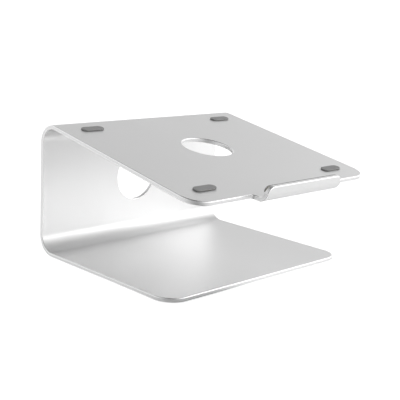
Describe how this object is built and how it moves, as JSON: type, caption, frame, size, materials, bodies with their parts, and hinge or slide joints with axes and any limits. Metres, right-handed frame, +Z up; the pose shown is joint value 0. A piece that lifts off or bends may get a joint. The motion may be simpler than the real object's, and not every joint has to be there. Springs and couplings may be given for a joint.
{
  "type": "laptop stand",
  "caption": "Laptop riser bent from one aluminium sheet: flat base, upright back with a cable hole, sloping deck with a vent hole, rubber pads and a turned-up front lip.",
  "frame": {"origin": "on the table, below the middle of the stand's overall width and depth", "axes": "+Z up, -Y to the front where the lip is, +X to the user's right when facing the stand's back"},
  "size_m": [0.26, 0.2544, 0.1437],
  "materials": {
    "anodised_aluminium": "bead-blasted, silver anodised, satin",
    "pad_rubber": "matte mid-grey silicone rubber",
    "foot_rubber": "matte mid-grey silicone rubber",
    "adhesive_film": "translucent double-sided film"
  },
  "bodies": {
    "root": {"bent_sheet": "anodised_aluminium", "deck_pad_front_left": "pad_rubber", "deck_pad_front_right": "pad_rubber", "deck_pad_rear_left": "pad_rubber", "deck_pad_rear_right": "pad_rubber", "deck_pad_front_left_adhesive": "adhesive_film", "deck_pad_front_right_adhesive": "adhesive_film", "deck_pad_rear_left_adhesive": "adhesive_film", "deck_pad_rear_right_adhesive": "adhesive_film", "lip_liner": "pad_rubber", "lip_liner_adhesive": "adhesive_film", "base_foot_front_left": "foot_rubber", "base_foot_front_right": "foot_rubber", "base_foot_rear_left": "foot_rubber", "base_foot_rear_right": "foot_rubber", "base_foot_front_left_adhesive": "adhesive_film", "base_foot_front_right_adhesive": "adhesive_film", "base_foot_rear_left_adhesive": "adhesive_film", "base_foot_rear_right_adhesive": "adhesive_film"}
  },
  "joints": []
}
